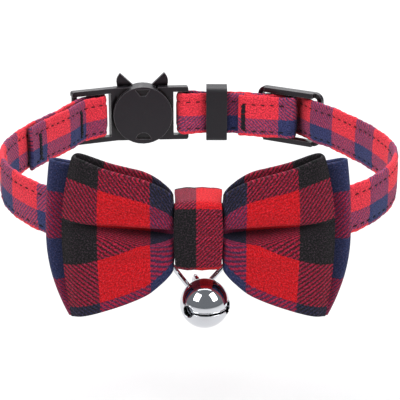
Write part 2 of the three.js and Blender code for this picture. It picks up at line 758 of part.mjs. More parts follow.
// Bell: a hollow ball in its own frame, with the slit's middle towards +Z and the loop at -Z.
function bellShell() {
  const ball = (radius, wide, high) => solid(new THREE.SphereGeometry(radius, wide, high));
  let body = ball(bellRadius, 28, 18).subtract(ball(bellRadius - bellWall, 20, 12));
  const cutFrom = bellRadius * Math.cos(degrees(bellHoleAngle));
  const slit = new THREE.BoxGeometry(2 * bellRadius, bellSlit, bellRadius);
  slit.translate(0, 0, cutFrom + bellRadius / 2);
  body = body.subtract(solid(slit));
  for (const side of [-1, 1]) {
    const hole = new THREE.CylinderGeometry(bellHoleRadius, bellHoleRadius, bellRadius, 14);
    hole.rotateX(Math.PI / 2);
    hole.translate(0, 0, bellRadius);
    hole.rotateY(side * degrees(bellHoleAngle));
    body = body.subtract(solid(hole));
  }
  const loop = new THREE.TorusGeometry(bellLoopRadius, bellLoopWire / 2, 8, 20);
  loop.rotateY(Math.PI / 2);
  loop.translate(0, 0, -bellRadius + bellWall / 2 - bellLoopRadius);
  return geometryOf(body.add(solid(loop).subtract(ball(bellRadius - bellWall / 2, 20, 12))));
}

function pellet() {
  return geometryOf(solid(new THREE.SphereGeometry(pelletRadius, 12, 8)));
}

const collar = new THREE.Group();

function piece(name, geometry, material, parent = collar) {
  const mesh = new THREE.Mesh(geometry, material);
  mesh.name = name;
  parent.add(mesh);
  return mesh;
}

function placeIn(frame, mesh) {
  mesh.position.copy(frame.origin);
  mesh.rotation.z = frame.angle;
}

piece('strap', strap(), clothRed);
placeIn(buckleFrame, piece('buckle_housing', buckleHousing(), plastic));
placeIn(buckleFrame, piece('buckle_tongue', buckleTongue(), plastic));
placeIn(sliderFrame, piece('slider', slider(), plastic));
placeIn(keeperFrame, piece('keeper', keeper(), rubber));
piece('bow_back', clothLoop(backColumn, bowBackWidth / 2), clothDark);
piece('bow_front', clothLoop(frontColumn, bowFrontWidth / 2), clothRed);
piece('knot_band', knotBand(), clothKnot);
piece('d_ring', dRing(), chrome).position.set(ringX, ringY, ringBarZ);

// The bell hangs by its loop from the ring's lowest point and lies out towards the front.
const hang = new THREE.Vector3(0, 0, -ringHeight);
hang.applyAxisAngle(new THREE.Vector3(0, 1, 0), -degrees(ringTilt));
hang.add(new THREE.Vector3(ringX, ringY, ringBarZ));
const bell = new THREE.Group();
const bellAxis = new THREE.Vector3(
  Math.sin(degrees(bellTurn)) * Math.cos(degrees(bellDip)),
  -Math.cos(degrees(bellTurn)) * Math.cos(degrees(bellDip)),
  -Math.sin(degrees(bellDip)),
);
const bellSide = new THREE.Vector3(0, 0, 1).cross(bellAxis).normalize();
const bellUp = bellAxis.clone().cross(bellSide);
const loopPlay = bellLoopRadius - bellLoopWire / 2 - ringWire / 2 - clearance;
const loopMiddle = hang.clone();
loopMiddle.y -= loopPlay * 0.7;
loopMiddle.z += loopPlay * 0.7;
const loopReach = bellRadius - bellWall / 2 + bellLoopRadius;
bell.position.copy(loopMiddle.addScaledVector(bellAxis, loopReach));
bell.quaternion.setFromRotationMatrix(new THREE.Matrix4().makeBasis(bellSide, bellUp, bellAxis));
piece('bell_shell', bellShell(), chrome, bell);
const pelletDrop = bellRadius - bellWall - clearance - pelletRadius;
const pelletMesh = piece('bell_pellet', pellet(), chrome, bell);
pelletMesh.position.set(0, -pelletDrop, 0);
collar.add(bell);

export default collar;
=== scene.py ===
import math
import random
import bpy
import bmesh
import numpy as np
from mathutils import Vector, Matrix


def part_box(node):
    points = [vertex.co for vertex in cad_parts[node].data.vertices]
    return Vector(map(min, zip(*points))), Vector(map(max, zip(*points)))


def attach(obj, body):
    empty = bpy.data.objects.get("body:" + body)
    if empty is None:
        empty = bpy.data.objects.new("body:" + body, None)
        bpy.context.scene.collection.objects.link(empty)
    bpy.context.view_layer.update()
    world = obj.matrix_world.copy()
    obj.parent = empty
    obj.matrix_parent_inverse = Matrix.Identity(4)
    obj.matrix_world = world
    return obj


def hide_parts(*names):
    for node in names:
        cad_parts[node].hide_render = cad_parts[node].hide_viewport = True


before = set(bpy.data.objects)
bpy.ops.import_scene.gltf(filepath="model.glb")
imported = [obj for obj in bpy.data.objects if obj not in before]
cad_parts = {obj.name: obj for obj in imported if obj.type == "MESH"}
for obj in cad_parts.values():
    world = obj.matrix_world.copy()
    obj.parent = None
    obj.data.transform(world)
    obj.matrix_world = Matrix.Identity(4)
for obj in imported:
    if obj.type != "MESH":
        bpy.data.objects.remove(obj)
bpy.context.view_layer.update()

mm = 0.001
randomDraws = random.Random(7)

# Camera: level with the photo's view, about 20 degrees above the bow
cameraSettings = {"rise": 20.0, "distance": 280.0, "target": (0.3, -6.0, -5.9), "lens": 119.5,
                  "sensor": 36, "nearClip": 0.01}
cameraData = bpy.data.cameras.new("camera")
camera = bpy.data.objects.new("camera", cameraData)
bpy.context.scene.collection.objects.link(camera)
bpy.context.scene.camera = camera
rise = math.radians(cameraSettings["rise"])
away = Vector((0, -math.cos(rise), math.sin(rise)))
camera.location = (Vector(cameraSettings["target"]) + away * cameraSettings["distance"]) * mm
camera.rotation_euler = (math.pi / 2 - rise, 0, 0)
cameraData.lens = cameraSettings["lens"]
cameraData.sensor_width = cameraSettings["sensor"]
cameraData.clip_start = cameraSettings["nearClip"]


# Mesh helpers

def makePiece(name, points, faces, uvs=None):
    # points in mm; uvs holds one pair for each point
    mesh = bpy.data.meshes.new(name)
    mesh.from_pydata([tuple(c * mm for c in p) for p in points], [], faces)
    if uvs is not None:
        layer = mesh.uv_layers.new(name="cloth")
        for loop in mesh.loops:
            layer.data[loop.index].uv = uvs[loop.vertex_index]
    piece = bpy.data.objects.new(name, mesh)
    bpy.context.scene.collection.objects.link(piece)
    cleaner = bmesh.new()
    cleaner.from_mesh(mesh)
    bmesh.ops.recalc_face_normals(cleaner, faces=cleaner.faces)
    cleaner.to_mesh(mesh)
    cleaner.free()
    for polygon in mesh.polygons:
        polygon.use_smooth = True
    return piece


def loftRings(rings, closed):
    # the faces of a body through rings of as many points each, numbered ring by ring
    count = len(rings[0])
    faces = []
    for i in range(len(rings) if closed else len(rings) - 1):
        a, b = i * count, ((i + 1) % len(rings)) * count
        for k in range(count):
            n = (k + 1) % count
            faces.append((a + k, b + k, b + n, a + n))
    if not closed:
        faces.append(tuple(range(count)))
        faces.append(tuple((len(rings) - 1) * count + k for k in reversed(range(count))))
    return faces


def between(table, name, value):
    # a smooth value between the rows of a table, read by their "at"
    xs = [row["at"] for row in table]
    ys = [row[name] for row in table]
    i = max(0, min(len(xs) - 2, int(np.searchsorted(xs, value)) - 1))
    slopes = [(ys[j + 1] - ys[j]) / (xs[j + 1] - xs[j]) for j in range(len(xs) - 1)]

    def tangent(j):
        if j == 0 or j == len(xs) - 1:
            return slopes[min(j, len(slopes) - 1)]
        a, b = slopes[j - 1], slopes[j]
        return 0 if a * b <= 0 else 2 * a * b / (a + b)

    span = xs[i + 1] - xs[i]
    t = max(0.0, min(1.0, (value - xs[i]) / span))
    step = ys[i + 1] - ys[i]
    a, b = tangent(i) * span - step, step - tangent(i + 1) * span
    return ys[i] + t * step + t * (1 - t) * ((1 - t) * a + t * b)


def smoothCurve(points, closed, stepsEach=24):
    # centripetal Catmull-Rom through the points, as a dense array
    p = [np.array(q, float) for q in points]
    n = len(p)
    out = []
    for i in range(n if closed else n - 1):
        if closed:
            q = [p[(i + j - 1) % n] for j in range(4)]
        else:
            q = [p[i - 1] if i > 0 else 2 * p[0] - p[1], p[i], p[i + 1],
                 p[i + 2] if i + 2 < n else 2 * p[-1] - p[-2]]
        d = [max(1e-6, math.sqrt(np.linalg.norm(q[j + 1] - q[j]))) for j in range(3)]
        t1 = ((q[1] - q[0]) / d[0] - (q[2] - q[0]) / (d[0] + d[1]) + (q[2] - q[1]) / d[1]) * d[1]
        t2 = ((q[2] - q[1]) / d[1] - (q[3] - q[1]) / (d[1] + d[2]) + (q[3] - q[2]) / d[2]) * d[1]
        for k in range(stepsEach):
            t = k / stepsEach
            out.append(q[1] + t1 * t + (-3 * q[1] + 3 * q[2] - 2 * t1 - t2) * t * t
                       + (2 * q[1] - 2 * q[2] + t1 + t2) * t ** 3)
    if not closed:
        out.append(p[-1])
    return np.array(out)


class Track:
    # a curve in plan that can be read by the distance along it, in mm
    halfSpan = 0.15  # a direction is read over twice this
    endMargin = 0.2

    def __init__(self, dense, closed):
        self.p = np.vstack([dense, dense[:1]]) if closed else dense
        self.s = np.concatenate([[0], np.cumsum(np.linalg.norm(np.diff(self.p, axis=0), axis=1))])
        self.length = self.s[-1]
        self.closed = closed

    def at(self, s):
        s = s % self.length if self.closed else max(0, min(self.length, s))
        return np.array([np.interp(s, self.s, self.p[:, 0]), np.interp(s, self.s, self.p[:, 1])])

    def along(self, s):
        if not self.closed:
            s = max(self.endMargin, min(self.length - self.endMargin, s))
        d = self.at(s + self.halfSpan) - self.at(s - self.halfSpan)
        return d / np.linalg.norm(d)

    def out(self, s, lift=0):
        t = self.along(s)
        return self.at(s) + np.array([-t[1], t[0]]) * lift


# Cloth colours and weave

clothColours = {
    # the strap's two colours are the red and the navy painted lighter, painted light on the strap's cloth
    "red": (0.53, 0.005, 0.009), "strapLitRed": (0.76, 0.036, 0.058), "black": (0.007, 0.008, 0.008),
    "navy": (0.019, 0.028, 0.083), "strapLitNavy": (0.03, 0.04, 0.125),
}


def feed(tree, socket, value):
    # a link where the value is a socket, else a plain setting
    if isinstance(value, bpy.types.NodeSocket):
        tree.links.new(value, socket)
    else:
        socket.default_value = value


def addNode(tree, kind, **settings):
    # in_NAME or in_NUMBER feeds an input, and anything else is a setting of the node
    node = tree.nodes.new(kind)
    for key, value in settings.items():
        if key.startswith("in_"):
            slot = key[3:]
            feed(tree, node.inputs[int(slot) if slot.isdigit() else slot], value)
        else:
            setattr(node, key, value)
    return node


def maths(tree, operation, *values):
    node = addNode(tree, "ShaderNodeMath", operation=operation)
    for socket, value in zip(node.inputs, values):
        feed(tree, socket, value)
    return node.outputs[0]


def noise(tree, place, scale, detail, roughness=0.5):
    node = addNode(tree, "ShaderNodeTexNoise", in_Vector=place, in_Scale=scale, in_Detail=detail,
                   in_Roughness=roughness)
    return node.outputs[0]


def spread(tree, value, low, high, toLow=0.0, toHigh=1.0, kind="LINEAR"):
    node = addNode(tree, "ShaderNodeMapRange", interpolation_type=kind, in_0=value, in_1=low, in_2=high,
                   in_3=toLow, in_4=toHigh)
    return node.outputs[0]


def blend(tree, kind, share, first, second):
    node = addNode(tree, "ShaderNodeMix", data_type="RGBA", blend_type=kind, in_0=share, in_6=first,
                   in_7=second)
    return node.outputs[2]


def newGroup(name, inputs, outputs):
    # inputs: name, kind and value; outputs: name and kind
    group = bpy.data.node_groups.new(name, "ShaderNodeTree")
    for title, kind, value in inputs:
        socket = group.interface.new_socket(title, in_out="INPUT", socket_type="NodeSocket" + kind)
        if value is not None:
            socket.default_value = value
    for title, kind in outputs:
        group.interface.new_socket(title, in_out="OUTPUT", socket_type="NodeSocket" + kind)
    return group, addNode(group, "NodeGroupInput").outputs, addNode(group, "NodeGroupOutput").inputs


def newMaterial(name):
    material = bpy.data.materials.new(name)
    material.use_nodes = True
    return material, material.node_tree, material.node_tree.nodes["Principled BSDF"]


# Brushed twill: a scale is how many features the noise has in each mm of cloth
weave = {
    "wobbleScale": 1.3, "wobble": 0.5, "yarnRange": (0.17, 0.33), "yarnMix": (0.12, 0.88),
    "looseScale": 3.2, "loose": 2.0, "leadRange": (0.36, 0.62), "lead": 0.82,
    "hairScale": 3.6, "hairRange": (0.5, 0.68), "hairColour": (0.14, 0.075, 0.11, 1),
    "crossing": 7.0, "lightYarn": 9.0, "blush": 0.25, "hairBlush": 0.9,
    "blushColour": (0.16, 0.012, 0.09, 1), "grainScale": 2.8, "grainRange": (0.38, 0.62),
    "grain": (0.42, 1.55), "ridgeHeight": 0.9,
}


def flannelWeave():
    # two yarn colours woven as brushed twill: the colour and the height of the yarns
    group, given, made = newGroup(
        "flannelWeave",
        [("Column colour", "Color", None), ("Row colour", "Color", None), ("Cloth", "Vector", None),
         ("Twill", "Float", 0.62), ("Lean", "Float", -1), ("Nap", "Float", 0.35)],
        [("Colour", "Color"), ("Height", "Float")])
    column, row, cloth = given["Column colour"], given["Row colour"], given["Cloth"]
    parts = addNode(group, "ShaderNodeSeparateXYZ", in_0=cloth).outputs
    wobble = maths(group, "MULTIPLY", noise(group, cloth, weave["wobbleScale"], 2.0), weave["wobble"])
    slant = maths(group, "ADD", maths(group, "MULTIPLY_ADD", parts[0], given["Lean"], parts[1]), wobble)
    phase = maths(group, "FRACT", maths(group, "DIVIDE", slant, given["Twill"]))
    ridge = maths(group, "ABSOLUTE", maths(group, "SUBTRACT", phase, 0.5))
    yarn = spread(group, ridge, *weave["yarnRange"], *weave["yarnMix"], kind="SMOOTHSTEP")
    fine = noise(group, cloth, weave["looseScale"], 5.0, 0.8)
    stray = maths(group, "MULTIPLY", maths(group, "SUBTRACT", fine, 0.5), weave["loose"])
    share = maths(group, "MINIMUM", maths(group, "MAXIMUM", maths(group, "ADD", yarn, stray), 0.0), 1.0)
    mixed = blend(group, "MIX", share, column, row)
    darker = blend(group, "DARKEN", 1, column, row)
    lead = spread(group, fine, *weave["leadRange"], 0.0, weave["lead"])
    leading = blend(group, "MIX", lead, mixed, darker)
    hairs = noise(group, cloth, weave["hairScale"], 5.0, 0.8)
    pale = spread(group, hairs, *weave["hairRange"])
    fuzz = blend(group, "SCREEN", maths(group, "MULTIPLY", pale, given["Nap"]), leading, weave["hairColour"])
    # where two colours cross, brushed fibres turn the lighter yarn crimson
    contrast = blend(group, "DIFFERENCE", 1, column, row)
    crossing = maths(group, "MINIMUM", maths(group, "MULTIPLY", contrast, weave["crossing"]), 1.0)
    light = maths(group, "MINIMUM", maths(group, "MULTIPLY", mixed, weave["lightYarn"]), 1.0)
    pinked = maths(group, "MULTIPLY_ADD", pale, weave["hairBlush"], weave["blush"])
    amount = maths(group, "MULTIPLY", maths(group, "MULTIPLY", crossing, light), pinked)
    blush = blend(group, "SCREEN", amount, fuzz, weave["blushColour"])
    grain = spread(group, noise(group, cloth, weave["grainScale"], 4.0, 0.85), *weave["grainRange"],
                   *weave["grain"])
    feed(group, made["Colour"], blend(group, "MULTIPLY", 1, blush, grain))
    height = maths(group, "ADD", maths(group, "MULTIPLY", ridge, weave["ridgeHeight"]), hairs)
    feed(group, made["Height"], height)
    return group


# Moulded, cast and spun surfaces: reaches and depths in metres
skin = {
    "grainRange": (0.3, 0.7), "roughSpan": (0.8, 1.25), "grainBump": 0.15, "grainDepth": 0.00005,
    # the recess and edge settings paint shade into the recesses and a highlight along the edges
    "recessReach": 0.0014, "recessRange": (0.6, 0.96), "recessShade": 0.05,
    "edgeRadius": 0.0002, "edgeRange": (0.99, 0.9), "edgeHighlightColour": (0.2, 0.19, 0.2, 1), "specular": 0.3,
}


def fineGrain():
    # uneven roughness round the given one, and the height of the grain
    group, given, made = newGroup(
        "fineGrain", [("Place", "Vector", None), ("Grain", "Float", 1000), ("Roughness", "Float", 0.5)],
        [("Roughness", "Float"), ("Height", "Float")])
    grain = noise(group, given["Place"], given["Grain"], 4.0)
    low, high = [maths(group, "MULTIPLY", given["Roughness"], part) for part in skin["roughSpan"]]
    feed(group, made["Roughness"], spread(group, grain, *skin["grainRange"], low, high))
    feed(group, made["Height"], grain)
    return group


def paintedShadeAndEdgeHighlight():
    # painted shade that darkens the recesses and a painted highlight that lightens the edges
    group, given, made = newGroup("paintedShadeAndEdgeHighlight", [("Colour", "Color", None), ("Rub", "Float", 0.0)],
                                  [("Colour", "Color")])
    recess = addNode(group, "ShaderNodeAmbientOcclusion", samples=8, in_Distance=skin["recessReach"])
    deep = spread(group, recess.outputs["AO"], *skin["recessRange"], skin["recessShade"], 1.0)
    shaded = blend(group, "MULTIPLY", 1, given["Colour"], deep)
    softened = addNode(group, "ShaderNodeBevel", samples=6, in_Radius=skin["edgeRadius"])
    unsoftened = addNode(group, "ShaderNodeNewGeometry")
    level = addNode(group, "ShaderNodeVectorMath", operation="DOT_PRODUCT", in_0=softened.outputs[0],
                    in_1=unsoftened.outputs["Normal"])
    edgeLight = spread(group, level.outputs["Value"], *skin["edgeRange"], 0.0, given["Rub"])
    feed(group, made["Colour"], blend(group, "MIX", edgeLight, shaded, skin["edgeHighlightColour"]))
    return group


weaveGroup = flannelWeave()
grainGroup = fineGrain()
paintedLightGroup = paintedShadeAndEdgeHighlight()


def stripes(tree, value, low, high, bands):
    # bands: a colour name and where it ends, in mm; read constant between low and high
    ramp = addNode(tree, "ShaderNodeValToRGB", in_0=spread(tree, value, low, high))
    ramp.color_ramp.interpolation = "CONSTANT"
    marks = ramp.color_ramp.elements
    while len(marks) > 1:
        marks.remove(marks[-1])
    marks[0].position = 0
    start = low
    for i, (name, end) in enumerate(bands):
        mark = marks[0] if i == 0 else marks.new((start - low) / (high - low))
        mark.color = (*clothColours[name], 1)
        start = end
    return ramp.outputs[0]


# Brushed cotton: strays in mm of cloth, reaches and relief in metres
cotton = {
    # the fold settings paint shade into the cloth where it folds close over itself
    "edgeScale": 2.2, "edgeStray": 0.55, "foldReach": 0.004, "foldRange": (0.3, 0.8), "foldShade": 0.35,
    "bump": 0.55, "relief": 0.00022, "repeatsAhead": 40,
}
cottonShader = {"Roughness": 0.93, "Specular IOR Level": 0.15, "Sheen Weight": 0.05, "Sheen Roughness": 0.45}


def tartanCloth(name, columns, rows, columnRange, rowRange, repeatColumns=False, twill=0.95, nap=0.55,
                lean=-1):
    # a tartan whose columns run by u and rows by v of the cloth's own coordinates, in mm
    material, tree, shader = newMaterial(name)
    place = addNode(tree, "ShaderNodeUVMap", uv_map="cloth").outputs[0]
    parts = addNode(tree, "ShaderNodeSeparateXYZ", in_0=place).outputs
    uneven = maths(tree, "SUBTRACT", noise(tree, place, cotton["edgeScale"], 3.0), 0.5)
    stray = maths(tree, "MULTIPLY", uneven, cotton["edgeStray"])
    u = maths(tree, "ADD", parts[0], stray)
    v = maths(tree, "ADD", parts[1], stray)
    if repeatColumns:
        ahead = columnRange[1] * cotton["repeatsAhead"]
        u = maths(tree, "MODULO", maths(tree, "ADD", u, ahead), columnRange[1])
    woven = addNode(tree, "ShaderNodeGroup", node_tree=weaveGroup, in_Cloth=place, in_Twill=twill,
                    in_Nap=nap, in_Lean=lean)
    feed(tree, woven.inputs["Column colour"], stripes(tree, u, *columnRange, columns))
    feed(tree, woven.inputs["Row colour"], stripes(tree, v, *rowRange, rows))
    # painted shade: the cloth's colour darkens where the cloth folds close over itself, in the pleat, round
    # the knot and between the layers
    foldShadow = addNode(tree, "ShaderNodeAmbientOcclusion", samples=8, in_Distance=cotton["foldReach"])
    deep = spread(tree, foldShadow.outputs["AO"], *cotton["foldRange"], cotton["foldShade"], 1.0)
    feed(tree, shader.inputs["Base Color"], blend(tree, "MULTIPLY", 1, woven.outputs["Colour"], deep))
    bump = addNode(tree, "ShaderNodeBump", in_Strength=cotton["bump"], in_Distance=cotton["relief"],
                   in_Height=woven.outputs["Height"])
    feed(tree, shader.inputs["Normal"], bump.outputs[0])
    for socket, value in cottonShader.items():
        shader.inputs[socket].default_value = value
    return material


def grainyFinish(name, colour, roughness, grain, metallic=0.0, coat=0.0, rub=0.0):
    # grain: features in each metre; metal keeps a smooth, even colour
    material, tree, shader = newMaterial(name)
    place = addNode(tree, "ShaderNodeTexCoord").outputs["Object"]
    grained = addNode(tree, "ShaderNodeGroup", node_tree=grainGroup, in_Place=place, in_Grain=grain,
                      in_Roughness=roughness)
    feed(tree, shader.inputs["Roughness"], grained.outputs["Roughness"])
    shader.inputs["Base Color"].default_value = (*colour, 1)
    shader.inputs["Specular IOR Level"].default_value = skin["specular"]
    shader.inputs["Metallic"].default_value = metallic
    shader.inputs["Coat Weight"].default_value = coat
    if not metallic:
        bump = addNode(tree, "ShaderNodeBump", in_Strength=skin["grainBump"], in_Distance=skin["grainDepth"],
                       in_Height=grained.outputs["Height"])
        feed(tree, shader.inputs["Normal"], bump.outputs[0])
        # non-metal finishes get painted shade in their recesses and a painted edge highlight of the given
        # strength
        paintedLight = addNode(tree, "ShaderNodeGroup", node_tree=paintedLightGroup, in_Colour=(*colour, 1), in_Rub=rub)
        feed(tree, shader.inputs["Base Color"], paintedLight.outputs["Colour"])
    return material


frontTartan = {
    "columns": [("red", 0.2), ("navy", 8.6), ("red", 18.2), ("black", 26.5)],
    "rows": [("navy", -12.7), ("red", -4.2), ("black", 5.4), ("red", 13.1), ("black", 17.5)],
    "columnRange": (-1, 26.5), "rowRange": (-17.5, 17.5),
}
backTartan = {
    "columns": [("red", 17.0), ("navy", 30.0)],
    "rows": [("red", -8.6), ("navy", -0.4), ("red", 8.9), ("navy", 17.5)],
    "columnRange": (0, 30), "rowRange": (-17.5, 17.5),
}
knotTartan = {
    "columns": [("black", -0.4), ("red", 6)],
    "rows": [("red", 1.6), ("black", 13.0), ("red", 24), ("black", 36), ("red", 52)],
    "columnRange": (-6, 6), "rowRange": (0, 52), "twill": 0.75,
}
# the strap is painted in the lighter copies of the red and the navy, as painted light
strapTartan = {
    "columns": [("strapLitRed", 9.6), ("strapLitNavy", 17.8)],
    "rows": [("strapLitRed", -4.3), ("strapLitNavy", -0.4), ("strapLitRed", 7)],
    "columnRange": (0, 17.8), "rowRange": (-7, 7), "repeatColumns": True,
    "twill": 0.9, "nap": 0.4, "lean": 1,
}
frontCloth = tartanCloth("frontBowTartan", **frontTartan)
backCloth = tartanCloth("backBowTartan", **backTartan)
knotCloth = tartanCloth("knotTartan", **knotTartan)
strapCloth = tartanCloth("strapTartan", **strapTartan)
threadFinish = grainyFinish("darkThread", (0.012, 0.012, 0.018), roughness=0.8, grain=4000)
# the buckle, slider and keeper are painted with shade in their recesses and a highlight along their edges
glossBlack = grainyFinish("buckleBlack", (0.008, 0.0055, 0.009), roughness=0.34, grain=2500, coat=0.1,
                          rub=0.7)
matteBlack = grainyFinish("keeperBlack", (0.012, 0.011, 0.014), roughness=0.5, grain=3500, rub=0.2)
chromeFinish = grainyFinish("bellChrome", (0.62, 0.63, 0.66), roughness=0.06, grain=700, metallic=1.0)
ballFinish = grainyFinish("pelletSteel", (0.35, 0.35, 0.37), roughness=0.35, grain=900, metallic=1.0)
print("finishes made")

# Strap: the part's own route, with soft rolled edges and sewn lines

strapSize = {"width": 10.0, "thick": 1.2, "gap": 0.3, "pathStep": 4.5, "sewnRun": 6, "sewnEnd": 29,
             "edgeThin": 0.15, "puff": 0.95, "seamDepth": 0.5, "seamWidth": 0.38, "seamPhase": 1.6}
stitch = {"up": 3.0, "down": -3.6, "step": 2.2, "long": 1.4, "first": 0.9, "radius": 0.115,
          "uneven": (-0.3, 0.2), "drift": (-0.05, 0.05)}
barTack = {"radius": 0.24, "step": 0.5, "shifts": (-0.3, 0.0, 0.3), "reach": 0.18, "drift": (-0.06, 0.06),
           "climb": (0.25, 0.8), "atStart": 1.3, "afterSewn": 7.0, "beforeEnd": 3.6}
# ripples along the cloth: size, rate and phase
strapPucker = ((0.07, 1.7, 0), (0.06, 2.85, 1))
strapWaver = ((0.012, 0.9, 2), (0.01, 2.85, 0))
neckShape = [(0, 1), (0.194, 0.998), (0.33, 0.98), (0.5, 0.915), (0.667, 0.796), (0.75, 0.665),
             (0.825, 0.517), (0.893, 0.382), (0.951, 0.222), (0.993, 0.049), (1, -0.105),
             (0.976, -0.263), (0.922, -0.421), (0.85, -0.553), (0.765, -0.674), (0.631, -0.79),
             (0.437, -0.9), (0.218, -0.968), (0, -1)]
neckHalf, neckBack, neckFront = 41.2, 40.6, 38.0


def neckPoint(row, side):
    aside, along = row
    return (side * aside * neckHalf, along * (neckBack if along > 0 else neckFront))


neck = Track(smoothCurve([neckPoint(r, 1) for r in neckShape]
                         + [neckPoint(r, -1) for r in neckShape[-2:0:-1]], True), True)


def planFrame(origin, angle):
    along = np.array([math.cos(angle), math.sin(angle)])
    outward = np.array([-math.sin(angle), math.cos(angle)])
    return lambda x, y: origin + along * x + outward * y


def roundBar(place, x, y, radius, start, end):
    angles = [math.radians(start + (end - start) * i / 6) for i in range(7)]
    return [place(x + radius * math.cos(a), y + radius * math.sin(a)) for a in angles]


# places along the neck and sizes of what the strap runs round, as in the part
buckle = {"at": 13.7, "turn": math.radians(4), "bend": math.radians(18), "hinge": 6.4,
          "inner": 4.6, "outer": 10.4, "tongue": 10.3, "lift": 1.6, "run": 9,
          "tongueWrap": (-80, -280), "barWrap": (118, -62), "foldBack": (0.95, 0.75)}
slider = {"at": 22.4, "end": 7.8, "offset": 0.5, "lift": 1.5, "barHalf": 1.2, "run": 13.4,
          "wrap": (-100, 100)}
keeperSpots = (9.9, 6.8, 1.8)  # beyond the keeper, in it and before it
buckleAt = neck.out(-buckle["at"], -strapSize["thick"] / 2)
buckleFrame = planFrame(buckleAt, buckle["turn"])
ladderFrame = planFrame(buckleFrame(-buckle["hinge"], 0), buckle["turn"] + buckle["bend"])
sliderAlong = neck.along(slider["at"])
sliderFrame = planFrame(neck.at(slider["at"]), math.atan2(sliderAlong[1], sliderAlong[0]))


def strapRoute():
    layer = strapSize["thick"] + strapSize["gap"]
    low = slider["offset"] - slider["lift"] - 2 * strapSize["gap"]
    high = -slider["offset"] + slider["lift"] + layer
    route = [neck.out(keeperSpots[0], -2 * layer), sliderFrame(-slider["end"], low - 2 * layer)]
    route += roundBar(sliderFrame, 0, -slider["offset"], slider["lift"], *slider["wrap"])
    route += [sliderFrame(-slider["end"], low - layer)]
    route += [neck.out(s, -layer) for s in keeperSpots]
    route += roundBar(buckleFrame, buckle["tongue"], 0, buckle["lift"], *buckle["tongueWrap"])
    route += [neck.at(s) for s in reversed(keeperSpots)]
    route += [sliderFrame(-slider["end"], low), sliderFrame(-slider["barHalf"], high),
              sliderFrame(slider["barHalf"], high), sliderFrame(slider["end"], low)]
    start = slider["at"] + slider["run"]
    stop = neck.length - buckle["at"] - buckle["hinge"] - buckle["outer"] - buckle["run"]
    steps = round((stop - start) / strapSize["pathStep"])
    route += [neck.at(start + (stop - start) * i / steps) for i in range(steps + 1)]
    below = -buckle["lift"] - strapSize["gap"]
    back, down = buckle["foldBack"]
    route += [ladderFrame(-buckle["outer"], below)]
    route += roundBar(ladderFrame, -buckle["inner"], 0, buckle["lift"], *buckle["barWrap"])
    route += [ladderFrame(-buckle["outer"] + layer * back, below - layer * down)]
    first = -(buckle["at"] + buckle["hinge"] + buckle["outer"] + strapSize["sewnRun"])
    last = -(buckle["at"] + buckle["hinge"] + buckle["inner"] + strapSize["sewnEnd"])
    route += [neck.out(first + (last - first) * i / 4, -layer) for i in range(5)]
    return Track(smoothCurve(route, False), False)


strapTrack = strapRoute()


def ripple(terms, s):
    return sum(size * math.sin(s * rate + phase) for size, rate, phase in terms)


def strapThickness(z, s):
    # puffed between the sewn lines, pulled in at each stitch and rolled at the edges
    pull = 0.75 + 0.25 * math.cos(2 * math.pi * (s - strapSize["seamPhase"]) / stitch["step"])
    half = strapSize["width"] / 2
    edge = math.sqrt(max(0.0, 1 - (abs(z) / half) ** 6))
    dip = sum(strapSize["seamDepth"] * pull * math.exp(-((z - line) / strapSize["seamWidth"]) ** 2)
              for line in (stitch["up"], stitch["down"]))
    return strapSize["thick"] / 2 * (strapSize["edgeThin"] + strapSize["puff"] * edge) * (1 - dip)


def makeStrap():
    half = strapSize["width"] / 2
    levels = [half * math.sin(math.pi / 2 * k / 13) for k in range(-13, 14)]
    rings, uvs = [], []
    s = 0.0
    while True:
        t = strapTrack.along(s)
        side = np.array([-t[1], t[0]])
        p = strapTrack.at(s)
        pucker = ripple(strapPucker, s)
        wave = 1 + ripple(strapWaver, s)
        ring = []
        for sign, order in ((-1, levels), (1, levels[::-1])):
            for z in order:
                # the edges outside the sewn lines pucker most
                w = strapThickness(z, s) * (1 + pucker * (1 if abs(z) > 2.6 else 0.3))
                q = p + side * sign * w
                ring.append((q[0], q[1], z * wave))
                uvs.append((s, z))
        rings.append(ring)
        if s >= strapTrack.length:
            break
        # short steps where the strap turns
        turn = math.acos(max(-1, min(1, float(np.dot(t, strapTrack.along(s + 0.8))))))
        s = min(strapTrack.length, s + max(0.22, min(0.55, 0.12 / (turn + 0.01))))
    return makePiece("strap_cloth", [p for r in rings for p in r], loftRings(rings, False), uvs)


# a raised stitch: share of its length, thickness there and rise off the cloth in mm
threadShape = ((0, 0.35, -0.05), (0.25, 1, 0.06), (0.75, 1, 0.06), (1, 0.35, -0.05))
threadSides = 6


def threads(name, ends, radius):
    # one stitch for each pair of points in mm, with the way out of the cloth
    points, faces = [], []
    for a, b, lift in ends:
        a, b, lift = Vector(a), Vector(b), Vector(lift)
        side = (b - a).normalized().cross(lift).normalized()
        rings = []
        for share, size, rise in threadShape:
            middle = a.lerp(b, share) + lift * rise
            angles = [2 * math.pi * k / threadSides for k in range(threadSides)]
            rings.append([middle + side * math.cos(w) * radius * size + lift * math.sin(w) * radius * size
                          for w in angles])
        base = len(points)
        points += [tuple(q) for ring in rings for q in ring]
        faces += [tuple(base + i for i in face) for face in loftRings(rings, False)]
    return makePiece(name, points, faces)


def strapSpot(s, z, sign):
    t = strapTrack.along(s)
    side = np.array([-t[1], t[0]]) * sign
    p = strapTrack.at(s) + side * strapThickness(z, s)
    return (p[0], p[1], z), (side[0], side[1], 0.0)


def makeStitches():
    ends = []
    for line in (stitch["up"], stitch["down"]):
        s = stitch["first"]
        while s < strapTrack.length - 2:
            long = stitch["long"] + randomDraws.uniform(*stitch["uneven"])
            for sign in (-1, 1):
                a, lift = strapSpot(s, line + randomDraws.uniform(*stitch["drift"]), sign)
                b, _ = strapSpot(s + long, line + randomDraws.uniform(*stitch["drift"]), sign)
                ends.append((a, b, lift))
            s += stitch["step"]
    return threads("strap_stitches", ends, stitch["radius"])


